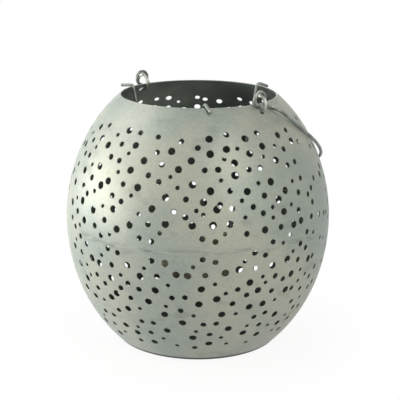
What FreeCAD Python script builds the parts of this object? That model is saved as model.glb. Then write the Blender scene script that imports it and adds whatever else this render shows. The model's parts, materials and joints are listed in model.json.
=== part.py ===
"""Punched tin lantern: two spun half shells welded at the waist, with a wire bail and a lift-out candle cup.

Millimetres, +Z up, origin at the middle of the underside. Angles round the lantern are measured
from the front (-Y) and grow towards the right (+X).
"""

import FreeCAD, Part
import math
import os

Vector = FreeCAD.Vector

# Spun body
body_radius = 100.0
mouth_radius = 58.1
base_radius = 61.5
upper_height = 93.3
lower_height = 94.8
wall_thickness = 0.8
weld_height = 0.8
facets_round = 36
upper_fullness = (1.863, 2.203)
lower_fullness = (2.077, 1.866)
upright_share = 0.1
row_shares = (0.0, 0.22, 0.43, 0.62, 0.78, 0.91, 1.0)

# Punched holes
hole_radius = 2.6
hole_sides = 6
pattern_repeats = 3
punch_reach = 2.5

# Wire that the handle and the hooks are bent from
wire_radius = 1.2
wire_sides = 8

# Rings through the wall that carry the bail
ring_angles = (45.0, -135.0)
ring_radius = 5.6
ring_outset = 3.5
ring_rise = 0.4
ring_hole_clearance = 1.5
ring_hole_sides = 12

# Bail
eye_inset = 0.5
eye_radius = 5.2
eye_tip_angle = 300.0
eye_drop = 2.4
neck_bend_radius = 3.6
jog_reach = 12.6
jog_inner_bend_radius = 3.0
jog_outer_bend_radius = 5.8
jog_step = 9.0
bail_leg_length = 52.5
shoulder_radius = 65.5
shoulder_angle = 60.0
bail_rest_gap = 0.4
raised_tilt = 60.0
tilt_step = 2.0

# Candle cup and the three hooked wires that hang it from the rim
hook_angles = (5.0, -115.0, 125.0)
hook_tip_reach = 7.4
hook_droop_angle = 6.0
hook_bend_radius = 2.6
hook_foot_bend_radius = 12.0
hook_inset = 2.7
hook_foot_length = 12.0
hook_foot_rise = 3.0
rest_gap = 0.25
weld_gap = 0.05
cup_radius = 28.0
cup_depth = 24.0
cup_floor_height = 49.0
cup_wall = 0.6
cup_lip_height = 1.6

# Places of the large holes: share of the repeat round the body, then share of the wall from the
# weld to the mouth or to the edge of the base
upper_hole_shares = (
    (0.159, 0.780), (0.547, 0.761), (0.006, 0.677), (0.224, 0.685), (0.391, 0.670), (0.711, 0.750),
    (0.894, 0.740), (0.071, 0.647), (0.281, 0.590), (0.473, 0.610), (0.644, 0.590), (0.783, 0.684),
    (0.232, 0.515), (0.426, 0.550), (0.830, 0.575), (0.071, 0.494), (0.140, 0.415), (0.544, 0.411),
    (0.780, 0.439), (0.277, 0.409), (0.386, 0.364), (0.679, 0.395), (0.187, 0.240), (0.341, 0.281),
    (0.565, 0.291), (0.802, 0.314), (0.013, 0.228), (0.262, 0.156), (0.481, 0.186), (0.860, 0.126),
)
lower_hole_shares = (
    (0.085, 0.146), (0.253, 0.124), (0.429, 0.152), (0.594, 0.139), (0.767, 0.127), (0.948, 0.160),
    (0.174, 0.250), (0.300, 0.190), (0.513, 0.255), (0.682, 0.227), (0.857, 0.226), (0.028, 0.331),
    (0.353, 0.282), (0.568, 0.335), (0.844, 0.343), (0.156, 0.412), (0.505, 0.373), (0.693, 0.423),
    (0.050, 0.461), (0.228, 0.475), (0.379, 0.474), (0.590, 0.465), (0.444, 0.539), (0.624, 0.605),
    (0.825, 0.544), (0.181, 0.653), (0.481, 0.688), (0.695, 0.669), (0.023, 0.709), (0.302, 0.780),
)


class HalfShell:
    """One half of the body, from the weld at the waist to its open mouth or flat base."""

    def __init__(self, height, end_radius, fullness, upwards):
        self.height = height
        self.fullness = fullness
        self.direction = 1.0 if upwards else -1.0
        closing_share = 1.0 - (end_radius / body_radius) ** fullness[1]
        self.curve_height = height / closing_share ** (1.0 / fullness[0])

    def radius(self, climb):
        """Outer radius at a height above or below the waist."""
        share = 1.0 - (climb / self.curve_height) ** self.fullness[0]
        return body_radius * share ** (1.0 / self.fullness[1])

    def normal(self, climb):
        """Outward normal as (radial, vertical) parts, vertical counted away from the waist."""
        step = self.height / 1000.0
        low = max(climb - step, 0.0)
        slope = (self.radius(climb + step) - self.radius(low)) / (climb + step - low)
        length = math.hypot(1.0, slope)
        return 1.0 / length, -slope / length

    def climb_at(self, wall_share):
        """Height from the waist at a share of the wall's length."""
        steps = 200
        heights = [self.height * i / steps for i in range(steps + 1)]
        lengths = [0.0]
        for low, high in zip(heights, heights[1:]):
            lengths.append(lengths[-1] + math.hypot(high - low, self.radius(high) - self.radius(low)))
        wanted = wall_share * lengths[-1]
        for i in range(steps):
            if lengths[i + 1] >= wanted:
                part = (wanted - lengths[i]) / (lengths[i + 1] - lengths[i])
                return heights[i] + part * (heights[i + 1] - heights[i])
        return self.height

    def wall_rows(self, inset):
        """Outline points (radius, z) from the weld to the end, moved inwards by the inset."""
        rows = []
        for share in row_shares:
            climb = weld_height / 2 + share * (self.height - weld_height / 2)
            radial, vertical = self.normal(climb)
            if share == 0.0:
                radial, vertical = 1.0, 0.0
            rows.append((self.radius(climb) - inset * radial,
                         lower_height + self.direction * (climb - inset * vertical)))
        return rows

    def punch(self, angle, climb, radius, sides):
        """A prism through the wall, square to it, at a height from the waist."""
        radial, vertical = self.normal(climb)
        axis = around(angle, radial, self.direction * vertical)
        middle = around(angle, self.radius(climb), lower_height + self.direction * climb)
        outline = ring_outline(middle + axis * punch_reach, axis, radius, sides)
        return Part.Face(outline).extrude(axis * (-2.0 * punch_reach))


def around(angle, radius, z):
    """Point at an angle from the front, a radius and a height."""
    turn = math.radians(angle)
    return Vector(radius * math.sin(turn), -radius * math.cos(turn), z)


def ring_outline(centre, axis, radius, sides):
    """Closed polygon square to an axis."""
    side = axis.cross(Vector(0, 0, 1))
    if side.Length < upright_share:
        side = Vector(1, 0, 0)
    side.normalize()
    other = axis.cross(side).normalize()
    points = []
    for i in range(sides):
        turn = 2.0 * math.pi * i / sides
        points.append(centre + side * (radius * math.cos(turn)) + other * (radius * math.sin(turn)))
    return Part.makePolygon(points + points[:1])


def circle_of_points(radius, z):
    """Corners of one level of the faceted body."""
    step = 360.0 / facets_round
    return [around(step * i, radius, z) for i in range(facets_round)]


def band_faces(first, second):
    """Flat faces between two levels of corners."""
    faces = []
    for i in range(facets_round):
        after = (i + 1) % facets_round
        corners = [first[i], first[after], second[after], second[i], first[i]]
        faces.append(Part.Face(Part.makePolygon(corners)))
    return faces


def spun_solid(outline, closed):
    """Solid of flat facets round an outline of (radius, z). An open outline is capped on the axis."""
    levels = [circle_of_points(radius, z) for radius, z in outline]
    faces = []
    for first, second in zip(levels, levels[1:]):
        faces += band_faces(first, second)
    if closed:
        faces += band_faces(levels[-1], levels[0])
    else:
        for level in (levels[0], levels[-1]):
            faces.append(Part.Face(Part.makePolygon(level + level[:1])))
    solid = Part.Solid(Part.makeShell(faces))
    if solid.Volume < 0:
        solid.reverse()
    return solid


def punches(half, shares):
    """The pattern of prisms, repeated round the body."""
    tools = []
    for repeat in range(pattern_repeats):
        for angle_share, wall_share in shares:
            angle = 360.0 * (repeat + angle_share) / pattern_repeats - 180.0 / pattern_repeats
            tools.append(half.punch(angle, half.climb_at(wall_share), hole_radius, hole_sides))
    return tools


def make_upper_shell(half, ring):
    """Upper half with its punched holes and the two ring holes near the mouth."""
    shell = spun_solid(half.wall_rows(0.0) + half.wall_rows(wall_thickness)[::-1], closed=True)
    tools = punches(half, upper_hole_shares)
    for angle in ring_angles:
        radius = wire_radius + ring_hole_clearance
        tools.append(half.punch(angle, ring.wall_crossing(half), radius, ring_hole_sides))
    return shell.cut(tools)


def make_lower_shell(half):
    """Lower half with its punched holes and its flat base."""
    floor_climb = half.height - wall_thickness
    floor_radius = half.radius(floor_climb) - wall_thickness / half.normal(floor_climb)[0]
    inner = half.wall_rows(wall_thickness)[:-1] + [(floor_radius, wall_thickness)]
    shell = spun_solid(inner[::-1] + half.wall_rows(0.0), closed=False)
    return shell.cut(punches(half, lower_hole_shares))


def make_weld(half):
    """Ring of weld metal between the two halves, ground flush."""
    outer = half.radius(weld_height / 2)
    inner = outer - wall_thickness
    low = lower_height - weld_height / 2
    high = lower_height + weld_height / 2
    return spun_solid([(inner, low), (outer, low), (outer, high), (inner, high)], closed=True)


def arc(start, middle, end):
    """Edge of a circle through three points."""
    return Part.Arc(start, middle, end).toShape()


def bent_path(corners, bend_radii):
    """Straight runs between corners, each corner rounded by a tangent arc."""
    edges = []
    start = corners[0]
    for before, corner, after, radius in zip(corners, corners[1:], corners[2:], bend_radii):
        inwards = (corner - before).normalize()
        outwards = (after - corner).normalize()
        half_turn = inwards.getAngle(outwards) / 2.0
        setback = radius * math.tan(half_turn)
        towards_centre = (outwards - inwards).normalize()
        middle = corner + towards_centre * (radius / math.cos(half_turn) - radius)
        edges.append(Part.makeLine(start, corner - inwards * setback))
        start = corner + outwards * setback
        edges.append(arc(corner - inwards * setback, middle, start))
    edges.append(Part.makeLine(start, corners[-1]))
    return edges


def wire_solid(edges):
    """Round wire of the handle's gauge swept along edges that follow each other."""
    first = edges[0]
    start = first.valueAt(first.FirstParameter)
    heading = first.tangentAt(first.FirstParameter)
    section = ring_outline(start, heading, wire_radius, wire_sides)
    return Part.Wire(edges).makePipeShell([section], True, False)


class HandleRing:
    """Closed wire ring that runs through a hole in the wall and over the edge of the mouth."""

    def __init__(self, upper):
        self.centre_radius = upper.radius(upper.height) + ring_outset
        self.centre_height = lower_height + upper.height + ring_rise

    def wall_crossing(self, upper):
        """Height from the waist at which the ring passes through the wall."""
        climb = upper.height
        step = upper.height / 1000.0
        rise = self.centre_height - lower_height
        while math.hypot(upper.radius(climb) - self.centre_radius, rise - climb) < ring_radius:
            climb -= step
        return climb

    def make(self, angle):
        centre = around(angle, self.centre_radius, self.centre_height)
        start = around(angle, self.centre_radius + ring_radius, self.centre_height)
        axis = around(angle + 90.0, 1.0, 0.0)
        section = Part.Face(ring_outline(start, Vector(0, 0, 1), wire_radius, wire_sides))
        return section.revolve(centre, axis, 360.0)


class Bail:
    """Wire handle with an open eye at each end, folded down until its crown lies on the body."""

    def __init__(self, upper, lower, ring):
        self.upper = upper
        self.lower = lower
        self.hinge_height = ring.centre_height + ring_radius - eye_drop
        self.eye_offset = ring.centre_radius + eye_inset
        self.half_width = self.eye_offset + jog_step
        self.tilt = self.rest_tilt()

    def crown(self):
        """Centre distance and radius of the crown arc, measured from the hinge."""
        inset = self.half_width - shoulder_radius
        run = inset / math.cos(math.radians(shoulder_angle))
        centre = bail_leg_length - run * math.sin(math.radians(shoulder_angle))
        return centre, shoulder_radius + run

    def legs_and_crown(self):
        """Places (across, along) spread over one leg, its shoulder and half of the crown."""
        centre, radius = self.crown()
        samples = 24
        places = []
        for i in range(samples + 1):
            share = i / samples
            places.append((self.half_width, jog_reach + share * (bail_leg_length - jog_reach)))
            turn = math.radians(share * shoulder_angle)
            places.append((self.half_width - shoulder_radius + shoulder_radius * math.cos(turn),
                           bail_leg_length + shoulder_radius * math.sin(turn)))
            turn = math.radians(shoulder_angle + share * (90.0 - shoulder_angle))
            places.append((radius * math.cos(turn), centre + radius * math.sin(turn)))
        return places

    def body_gap(self, tilt):
        """Clear distance from the handle's wire to the body at a tilt below level."""
        samples = 60
        outline = []
        for half in (self.upper, self.lower):
            for i in range(samples + 1):
                climb = half.height * i / samples
                outline.append((half.radius(climb), half.direction * climb))
        nearest = body_radius
        for across, along in self.legs_and_crown():
            out = math.hypot(across, along * math.cos(math.radians(tilt)))
            height = self.hinge_height - along * math.sin(math.radians(tilt)) - lower_height
            half = self.upper if height > 0.0 else self.lower
            climb = min(abs(height), half.height)
            if out < half.radius(climb):
                return 0.0
            nearest = min(nearest, min(math.hypot(out - r, height - z) for r, z in outline))
        return nearest - wire_radius

    def rest_tilt(self):
        """Tilt below level at which the handle comes down to its resting gap from the body."""
        low = -raised_tilt
        step = tilt_step
        while self.body_gap(low + step) > bail_rest_gap:
            low += step
        while step > tilt_step / 2000.0:
            step /= 2.0
            if self.body_gap(low + step) > bail_rest_gap:
                low += step
        return low

    def place(self, across, along, above):
        """Point from places along the hinge, along the legs and square to both."""
        tilt = math.radians(self.tilt)
        fold = ring_angles[0] + 90.0
        level = along * math.cos(tilt) + above * math.sin(tilt)
        height = self.hinge_height - along * math.sin(tilt) + above * math.cos(tilt)
        return around(ring_angles[0], across, 0.0) + around(fold, level, height)

    def in_eye(self, side, centre_along, centre_above, radius, angle):
        """Point on a circle in the plane of one eye."""
        turn = math.radians(angle)
        return self.place(side * self.eye_offset, centre_along + radius * math.cos(turn),
                          centre_above + radius * math.sin(turn))

    def half_edges(self, side):
        """Path from the tip of one eye to the end of its shoulder."""
        neck_along = math.sqrt(eye_radius ** 2 + 2.0 * eye_radius * neck_bend_radius)
        joint_angle = math.degrees(math.atan2(neck_bend_radius, neck_along))
        eye = [self.in_eye(side, 0.0, 0.0, eye_radius, angle) for angle in
               (eye_tip_angle, (eye_tip_angle + joint_angle) / 2.0, joint_angle)]
        neck = [self.in_eye(side, neck_along, neck_bend_radius, neck_bend_radius, angle) for angle in
                (180.0 + joint_angle, 225.0 + joint_angle / 2.0, 270.0)]
        corners = [self.place(side * across, along, 0.0) for across, along in
                   ((self.eye_offset, neck_along), (self.eye_offset, jog_reach),
                    (self.half_width, jog_reach), (self.half_width, bail_leg_length))]
        shoulder = []
        for angle in (0.0, shoulder_angle / 2.0, shoulder_angle):
            turn = math.radians(angle)
            across = self.half_width - shoulder_radius + shoulder_radius * math.cos(turn)
            along = bail_leg_length + shoulder_radius * math.sin(turn)
            shoulder.append(self.place(side * across, along, 0.0))
        bends = (jog_inner_bend_radius, jog_outer_bend_radius)
        return [arc(*eye), arc(*neck)] + bent_path(corners, bends) + [arc(*shoulder)]

    def make(self):
        centre, radius = self.crown()
        turn = math.radians(shoulder_angle)
        across = radius * math.cos(turn)
        along = centre + radius * math.sin(turn)
        crown = arc(self.place(across, along, 0.0), self.place(0.0, centre + radius, 0.0),
                    self.place(-across, along, 0.0))
        return wire_solid(self.half_edges(1.0) + [crown] + self.half_edges(-1.0)[::-1])


class CandleHanger:
    """Tin candle cup with three wires that hook over the edge of the mouth."""

    def __init__(self, upper):
        self.rim_radius = upper.radius(upper.height)
        self.rim_height = lower_height + upper.height

    def make_hook(self, angle):
        droop = math.tan(math.radians(hook_droop_angle))
        over_rim = self.rim_height + wire_radius + rest_gap
        foot = cup_radius + wire_radius + weld_gap
        low = cup_floor_height + hook_foot_rise
        inside = self.rim_radius - hook_inset
        tip = self.rim_radius + hook_tip_reach
        corners = [around(angle, radius, height) for radius, height in (
            (foot, low), (foot, low + hook_foot_length),
            (inside, over_rim + droop * hook_inset), (tip, over_rim - droop * hook_tip_reach))]
        return wire_solid(bent_path(corners, (hook_foot_bend_radius, hook_bend_radius)))

    def make_cup(self):
        """Drawn cup with a folded lip."""
        inner = cup_radius - cup_wall
        top = cup_floor_height + cup_depth
        floor = cup_floor_height
        outline = [(0.0, floor), (cup_radius, floor), (cup_radius, top - cup_lip_height),
                   (cup_radius + cup_wall, top - cup_lip_height), (cup_radius + cup_wall, top),
                   (inner, top), (inner, floor + cup_wall), (0.0, floor + cup_wall)]
        points = [Vector(radius, 0.0, z) for radius, z in outline]
        face = Part.Face(Part.makePolygon(points + points[:1]))
        return face.revolve(Vector(0, 0, 0), Vector(0, 0, 1), 360.0)


def export(node, shape):
    """Write one node, and say how many solids and how much metal it holds."""
    print(node, len(shape.Solids), "solids", round(shape.Volume, 1), "mm3", "valid", shape.isValid())
    shape.exportStep("parts/" + node + ".step")


def main():
    upper = HalfShell(upper_height, mouth_radius, upper_fullness, upwards=True)
    lower = HalfShell(lower_height, base_radius, lower_fullness, upwards=False)
    ring = HandleRing(upper)
    bail = Bail(upper, lower, ring)
    hanger = CandleHanger(upper)
    print("bail rests", round(bail.tilt, 2), "degrees below level")
    print("hinge height", round(bail.hinge_height, 2))
    os.makedirs("parts", exist_ok=True)
    export("lower_shell", make_lower_shell(lower))
    export("upper_shell", make_upper_shell(upper, ring))
    export("seam_weld", make_weld(lower))
    export("handle_rings", Part.makeCompound([ring.make(angle) for angle in ring_angles]))
    export("bail_handle", bail.make())
    for name, angle in zip(("front", "left", "right"), hook_angles):
        export("hanger_hook_" + name, hanger.make_hook(angle))
    export("candle_cup", hanger.make_cup())


main()
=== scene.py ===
"""Punched tin lantern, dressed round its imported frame.

Metres, +Z up, origin at the middle of the underside. Angles round the lantern are degrees from
the front (-Y), growing towards the right (+X).
"""

import json
import logging
import math
import random
from collections.abc import Callable
from dataclasses import dataclass
from enum import Enum

import bmesh
import bpy
import numpy as np
from mathutils import Euler, Matrix, Vector

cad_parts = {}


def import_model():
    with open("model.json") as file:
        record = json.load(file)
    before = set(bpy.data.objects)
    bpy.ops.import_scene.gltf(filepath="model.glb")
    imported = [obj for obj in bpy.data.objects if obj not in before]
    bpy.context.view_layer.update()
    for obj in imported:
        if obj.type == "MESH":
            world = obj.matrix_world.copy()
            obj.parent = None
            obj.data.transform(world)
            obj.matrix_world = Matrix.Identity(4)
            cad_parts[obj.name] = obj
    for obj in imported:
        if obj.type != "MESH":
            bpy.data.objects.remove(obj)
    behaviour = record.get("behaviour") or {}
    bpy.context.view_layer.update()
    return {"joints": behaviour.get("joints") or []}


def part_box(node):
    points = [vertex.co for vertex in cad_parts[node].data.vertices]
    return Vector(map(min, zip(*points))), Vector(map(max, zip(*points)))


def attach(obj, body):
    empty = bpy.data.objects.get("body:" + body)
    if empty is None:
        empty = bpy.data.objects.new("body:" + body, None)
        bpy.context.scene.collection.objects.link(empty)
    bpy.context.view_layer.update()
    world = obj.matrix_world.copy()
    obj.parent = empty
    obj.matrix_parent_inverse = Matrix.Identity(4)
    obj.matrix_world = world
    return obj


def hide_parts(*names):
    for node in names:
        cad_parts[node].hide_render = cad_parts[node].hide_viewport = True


LOG = logging.getLogger("lantern")
ACROSS = Vector((1.0, 0.0, 0.0))
ALONG = Vector((0.0, 1.0, 0.0))
UP = Vector((0.0, 0.0, 1.0))
SMOOTH_ANGLE = math.radians(35.0)
MERGE_DISTANCE = 1e-6
WIRE_SIDES = 16
RIGHT_ANGLE = 90.0


class PunchSize(Enum):
    """The three round punches of the pattern, by radius."""

    LARGE = 0.0026
    MEDIUM = 0.00205
    SMALL = 0.0015


# Punched places in front: angle round the body, then share of the wall from the waist to its end
UPPER_PUNCHES = {
    PunchSize.LARGE: (
        (-67.8, 0.742), (-40.9, 0.780), (5.7, 0.761), (25.3, 0.750), (47.2, 0.740), (-59.3, 0.677),
        (-51.4, 0.647), (-33.1, 0.685), (-13.1, 0.670), (5.8, 0.656), (14.1, 0.685), (25.7, 0.643),
        (34.0, 0.684), (55.9, 0.675), (-75.8, 0.582), (-26.2, 0.590), (-3.2, 0.610), (17.2, 0.590),
        (39.6, 0.575), (-51.4, 0.494), (-32.1, 0.515), (-8.9, 0.550), (16.6, 0.506), (-63.1, 0.427),
        (-47.2, 0.374), (-43.2, 0.415), (-26.8, 0.409), (-13.7, 0.364), (-2.4, 0.452), (5.3, 0.411),
        (21.4, 0.395), (33.6, 0.439), (-70.4, 0.316), (-19.1, 0.281), (2.3, 0.339), (7.8, 0.291),
        (36.2, 0.314), (40.6, 0.364), (-58.4, 0.228), (-49.3, 0.197), (-37.6, 0.240), (-13.1, 0.189),
        (-2.2, 0.186), (6.1, 0.188), (13.1, 0.191), (38.2, 0.228), (-69.1, 0.175), (-55.2, 0.103),
        (-34.8, 0.112), (-28.6, 0.156), (28.1, 0.130), (43.2, 0.126), (47.8, 0.137),
    ),
    PunchSize.MEDIUM: (
        (-59.3, 0.779), (-32.9, 0.777), (-21.6, 0.763), (-8.7, 0.742), (15.2, 0.787), (33.3, 0.782),
        (55.9, 0.758), (-42.0, 0.677), (-20.3, 0.656), (-0.2, 0.699), (47.2, 0.636), (61.8, 0.650),
        (-67.4, 0.638), (-45.9, 0.576), (-39.9, 0.564), (-17.0, 0.576), (46.0, 0.525), (51.7, 0.534),
        (-69.7, 0.529), (-63.9, 0.534), (-22.6, 0.497), (3.0, 0.548), (9.1, 0.550), (23.7, 0.538),
        (29.6, 0.541), (-73.9, 0.436), (-54.9, 0.402), (-34.4, 0.415), (-17.3, 0.460), (13.8, 0.408),
        (52.2, 0.416), (63.6, 0.378), (-60.2, 0.328), (-55.6, 0.288), (-39.1, 0.327), (-33.9, 0.300),
        (-9.9, 0.272), (-5.0, 0.357), (9.1, 0.320), (14.2, 0.293), (23.4, 0.291), (29.3, 0.355),
        (48.6, 0.328), (55.3, 0.293), (58.9, 0.325), (-41.7, 0.153), (-20.4, 0.177), (-5.0, 0.240),
        (27.8, 0.242), (46.9, 0.212), (57.9, 0.230), (-61.8, 0.140), (-47.4, 0.095), (-24.0, 0.079),
        (-18.7, 0.066), (1.8, 0.100), (7.0, 0.079), (19.9, 0.119), (36.0, 0.131), (55.6, 0.137),
        (62.7, 0.126), (69.0, 0.107), (-67.2, 0.072), (-63.2, 0.024), (-43.3, 0.042), (31.8, 0.040),
        (51.6, 0.044),
    ),
    PunchSize.SMALL: (
        (-47.7, 0.733), (-73.6, 0.678), (19.8, 0.685), (41.8, 0.671), (-60.8, 0.605), (-35.7, 0.624),
        (12.4, 0.619), (32.7, 0.613), (-58.0, 0.485), (-38.6, 0.488), (-12.3, 0.499), (10.1, 0.478),
        (-8.8, 0.430), (27.2, 0.441), (46.2, 0.413), (-50.6, 0.323), (-29.4, 0.350), (-0.6, 0.284),
        (2.2, 0.258), (18.6, 0.339), (32.6, 0.272), (-64.1, 0.226), (-43.6, 0.242), (-24.9, 0.237),
        (19.6, 0.228), (32.4, 0.202), (42.9, 0.263), (-15.3, 0.126), (10.8, 0.128), (-58.8, 0.054),
        (-38.4, 0.066), (37.0, 0.017), (40.8, 0.063), (56.6, 0.021),
    ),
}
LOWER_PUNCHES = {
    PunchSize.LARGE: (
        (-13.1, 0.076), (-65.0, 0.125), (-49.8, 0.146), (-45.0, 0.162), (-29.7, 0.124), (-24.0, 0.190),
        (-8.6, 0.152), (-4.0, 0.157), (11.2, 0.139), (16.9, 0.122), (32.0, 0.127), (39.6, 0.106),
        (53.8, 0.160), (-60.8, 0.238), (-39.1, 0.250), (-17.7, 0.282), (1.6, 0.255), (21.9, 0.227),
        (42.9, 0.226), (-56.7, 0.331), (-41.2, 0.412), (-37.4, 0.366), (-21.3, 0.379), (0.6, 0.373),
        (8.1, 0.335), (26.1, 0.296), (41.2, 0.343), (-60.7, 0.424), (-54.0, 0.461), (-32.7, 0.475),
        (-14.6, 0.474), (10.8, 0.465), (23.1, 0.423), (29.7, 0.415), (39.0, 0.544), (-38.2, 0.653),
        (-14.6, 0.627), (-6.7, 0.539), (-2.2, 0.688), (14.9, 0.605), (23.4, 0.669), (44.4, 0.653),
        (-57.2, 0.709), (-48.9, 0.794), (-32.2, 0.704), (-23.8, 0.780), (6.2, 0.758), (32.4, 0.716),
    ),
    PunchSize.MEDIUM: (
        (-58.2, 0.023), (-53.3, 0.058), (-39.4, 0.037), (-34.3, 0.050), (-18.6, 0.067), (2.0, 0.041),
        (7.1, 0.060), (23.4, 0.016), (28.3, 0.043), (47.2, 0.023), (50.9, 0.066), (-57.9, 0.138),
        (-37.8, 0.148), (-16.6, 0.175), (3.1, 0.152), (24.0, 0.127), (46.2, 0.134), (57.1, 0.153),
        (-47.8, 0.261), (-30.2, 0.261), (-25.1, 0.291), (16.8, 0.270), (33.9, 0.210), (38.4, 0.248),
        (61.6, 0.257), (-49.4, 0.373), (-43.3, 0.310), (-34.3, 0.310), (-29.9, 0.375), (-10.7, 0.329),
        (-5.2, 0.321), (15.1, 0.380), (21.0, 0.321), (33.1, 0.322), (45.1, 0.347), (52.0, 0.382),
        (57.6, 0.313), (60.0, 0.410), (63.9, 0.387), (-38.9, 0.514), (-7.2, 0.431), (26.8, 0.523),
        (32.4, 0.503), (48.2, 0.472), (-50.4, 0.579), (-44.3, 0.586), (-26.9, 0.570), (-20.9, 0.568),
        (2.8, 0.553), (6.1, 0.655), (8.7, 0.547), (31.2, 0.611), (52.3, 0.544), (52.4, 0.648),
        (57.6, 0.561), (-47.8, 0.688), (-32.8, 0.795), (-23.7, 0.672), (-1.3, 0.808), (49.8, 0.748),
    ),
    PunchSize.SMALL: (
        (-62.7, 0.069), (-43.2, 0.097), (-22.0, 0.127), (-1.8, 0.094), (19.1, 0.069), (42.7, 0.060),
        (63.7, 0.048), (67.9, 0.069), (-54.6, 0.217), (-33.4, 0.208), (-12.1, 0.234), (7.1, 0.219),
        (11.8, 0.294), (27.7, 0.197), (29.3, 0.245), (48.8, 0.219), (53.2, 0.271), (-52.9, 0.287),
        (-13.6, 0.403), (48.6, 0.303), (-47.2, 0.461), (-26.2, 0.452), (-1.7, 0.472), (17.2, 0.470),
        (36.0, 0.405), (54.8, 0.468), (-30.4, 0.637), (-0.6, 0.621), (12.1, 0.695), (24.4, 0.600),
        (37.3, 0.642), (47.8, 0.593), (-54.8, 0.642), (-42.1, 0.744), (-17.6, 0.720), (-10.9, 0.790),
        (15.8, 0.773), (27.9, 0.792), (43.2, 0.725),
    ),
}


def around(angle: float, radius: float, height: float) -> Vector:
    """Find a point of the lantern.

    Args:
        angle: degrees from the front, growing towards the right.
        radius: distance from the lantern's axis.
        height: height above the underside.

    Returns:
        The point in the lantern's frame.
    """
    turn = math.radians(angle)
    return Vector((radius * math.sin(turn), -radius * math.cos(turn), height))


def arc_points(centre: tuple, radius: float, first: float, last: float, steps: int) -> list:
    """Divide an arc of an outline.

    Args:
        centre: (radius, height) of the arc's centre.
        radius: radius of the arc.
        first: angle of its first point in degrees, from outwards towards up.
        last: angle of its last point.
        steps: number of stretches.

    Returns:
        Its (radius, height) points.
    """
    points = []
    for step in range(steps + 1):
        turn = math.radians(first + (last - first) * step / steps)
        points.append((centre[0] + radius * math.cos(turn), centre[1] + radius * math.sin(turn)))
    return points


def sign(operation: str, reflected: bool = False) -> Callable:
    """Make the method behind an arithmetic sign.

    Args:
        operation: the Math node's operation.
        reflected: whether the signal stands on the right of the sign.

    Returns:
        A method that adds a Math node for a signal and another signal or a number.
    """
    def method(signal: "Signal", other: object) -> "Signal":
        """Work out the sign's result."""
        first, second = (other, signal) if reflected else (signal, other)
        return signal.board.node("ShaderNodeMath", {"operation": operation}, {0: first, 1: second})

    return method


class Signal:
    """An output of a node, with the arithmetic that the finishes are written in."""

    def __init__(self, board: "NodeBoard", socket: bpy.types.NodeSocket) -> None:
        """Wrap a socket of a board."""
        self.board = board
        self.socket = socket

    __add__ = sign("ADD")
    __radd__ = sign("ADD", reflected=True)
    __sub__ = sign("SUBTRACT")
    __mul__ = sign("MULTIPLY")

    def ramp(self, low: float, high: float) -> "Signal":
        """Rise smoothly from 0 to 1, or fall where low is the larger.

        Args:
            low: value that gives 0.
            high: value that gives 1.

        Returns:
            The smoothed signal.
        """
        inputs = {"Value": self, "From Min": min(low, high), "From Max": max(low, high)}
        if low > high:
            inputs.update({"To Min": 1.0, "To Max": 0.0})
        return self.board.node("ShaderNodeMapRange", {"interpolation_type": "SMOOTHSTEP"}, inputs)


class NodeBoard:
    """The nodes of one material or of the world."""

    spinning_scale = (6.0, 6.0, 900.0)
    streak_scale = (38.0, 38.0, 160.0)
    scorch_edge = (0.44, 0.62)
    dot_core = 0.6
    noise_middle = 0.5
    # The Mix node's sockets for a share and two colours
    mix_inputs = (0, 6, 7)
    mix_output = 2

    def __init__(self, tree: bpy.types.NodeTree) -> None:
        """Start from an empty tree."""
        self.tree = tree
        tree.nodes.clear()

    def node(self, kind: str, settings: dict | None = None, inputs: dict | None = None,
             output: int | str = 0) -> Signal:
        """Add any node.

        Args:
            kind: the node's type.
            settings: properties, set before the sockets.
            inputs: values or signals by socket name or number.
            output: the output to hand back.

        Returns:
            The chosen output as a signal, or None for a node without outputs.
        """
        made = self.tree.nodes.new(kind)
        for name, value in (settings or {}).items():
            setattr(made, name, value)
        for name, value in (inputs or {}).items():
            if isinstance(value, Signal):
                self.tree.links.new(value.socket, made.inputs[name])
            else:
                made.inputs[name].default_value = value
        return Signal(self, made.outputs[output]) if made.outputs else None

    def noise(self, place: Signal, scale: float, detail: float = 2.0, roughness: float = 0.5) -> Signal:
        """Cloudy noise from 0 to 1 at a place."""
        return self.node("ShaderNodeTexNoise", {},
                         {"Vector": place, "Scale": scale, "Detail": detail, "Roughness": roughness})

    def stretched(self, place: Signal, scale: tuple) -> Signal:
        """The place with each axis scaled, for streaks."""
        return self.node("ShaderNodeMapping", {}, {"Vector": place, "Scale": scale})

    def dots(self, place: Signal, scale: float, size: float) -> Signal:
        """Round specks, 1 inside and 0 outside."""
        distance = self.node("ShaderNodeTexVoronoi", {}, {"Vector": place, "Scale": scale}, "Distance")
        return distance.ramp(size, size * self.dot_core)

    def spinning(self, place: Signal) -> Signal:
        """Fine rings that the spinning tool leaves."""
        return self.noise(self.stretched(place, self.spinning_scale), 1.0, detail=3.0)

    def streaks(self, place: Signal) -> Signal:
        """Clouds drawn out round the body."""
        return self.noise(self.stretched(place, self.streak_scale), 1.0, detail=4.0, roughness=0.7)

    def scorch(self, place: Signal) -> Signal:
        """Streaky patches that the welding heat leaves."""
        return self.streaks(place).ramp(*self.scorch_edge)

    def height(self, place: Signal) -> Signal:
        """Height of the place above the underside."""
        return self.node("ShaderNodeSeparateXYZ", {}, {"Vector": place}, "Z")

    def blend(self, share: Signal, first: object, second: object) -> Signal:
        """Mix two colours by a share."""
        sockets = dict(zip(self.mix_inputs, (share, first, second)))
        return self.node("ShaderNodeMix", {"data_type": "RGBA"}, sockets, self.mix_output)


def layers(base: float, patterns: tuple, weights: tuple) -> Signal:
    """Add patterns to a base value, each times its weight."""
    return sum((pattern * weight for pattern, weight in zip(patterns, weights)), base)


def paint(red: float, green: float, blue: float) -> tuple:
    """A colour with its alpha."""
    return red, green, blue, 1.0


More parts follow.
